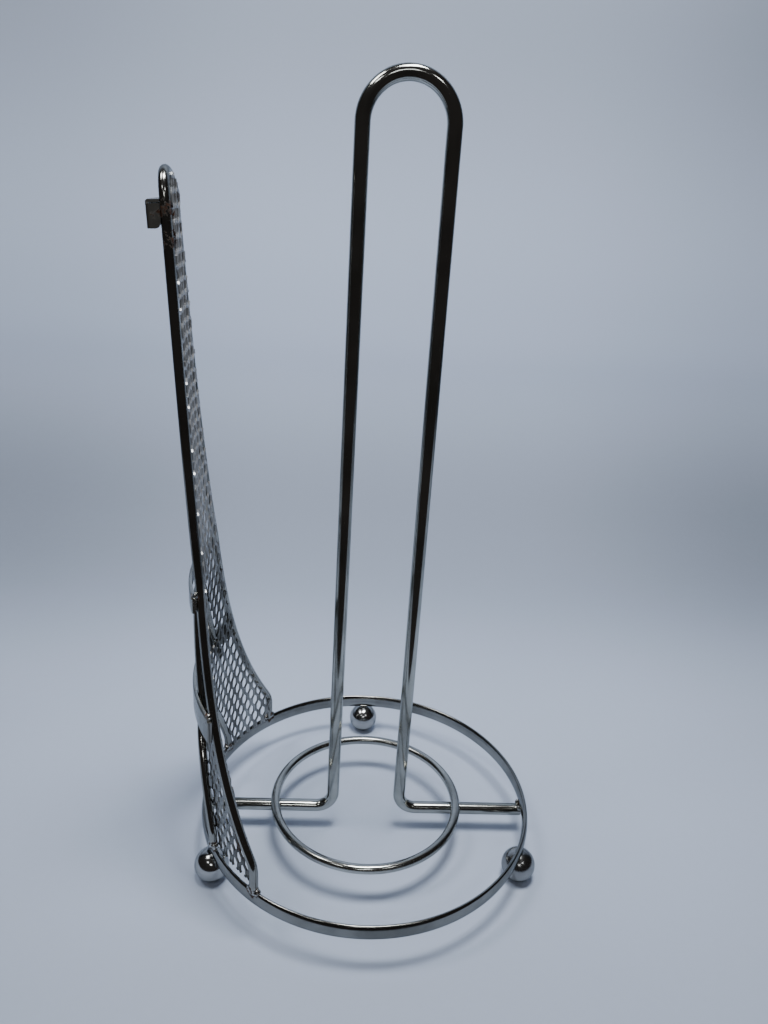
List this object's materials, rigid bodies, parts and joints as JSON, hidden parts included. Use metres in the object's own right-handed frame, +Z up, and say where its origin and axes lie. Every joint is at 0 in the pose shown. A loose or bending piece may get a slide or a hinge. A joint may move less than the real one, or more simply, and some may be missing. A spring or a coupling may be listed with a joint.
{
  "type": "paper towel holder",
  "caption": "Free-standing paper towel holder: round wire base on ball feet, tall U-shaped roll post, and a pointed lattice tower of wire and mesh at one side.",
  "frame": {"origin": "on the surface that the feet stand on, on the roll post's axis", "axes": "+Z up the post, +X along the arms away from the tower, +Y towards the back foot"},
  "size_m": [0.1775, 0.1717, 0.352],
  "materials": {
    "chrome_strip": "bright chrome on a flat strip, lightly scratched",
    "chrome_wire": "bright chrome on drawn wire, lightly pitted with a few rust spots",
    "chrome_ball": "bright polished chrome",
    "chrome_sheet": "chromed sheet, duller in the folds",
    "mesh_steel": "dull grey plated expanded mesh",
    "weld_steel": "plated weld beads, a little brown at the edges"
  },
  "bodies": {
    "root": {"base_ring": "chrome_strip", "roll_post": "chrome_wire", "roll_stop_ring": "chrome_wire", "foot_back": "chrome_ball", "foot_left": "chrome_ball", "foot_right": "chrome_ball", "tower_outline_wire": "chrome_wire", "tower_leg_arch_wire": "chrome_wire", "tower_waist_arch_wire": "chrome_wire", "tower_mesh_legs": "mesh_steel", "tower_mesh_waist": "mesh_steel", "tower_mesh_spire": "mesh_steel", "low_platform": "chrome_sheet", "middle_platform": "chrome_sheet", "top_platform": "chrome_sheet", "arm_welds": "weld_steel", "tower_foot_welds": "weld_steel", "platform_welds": "weld_steel"}
  },
  "joints": []
}
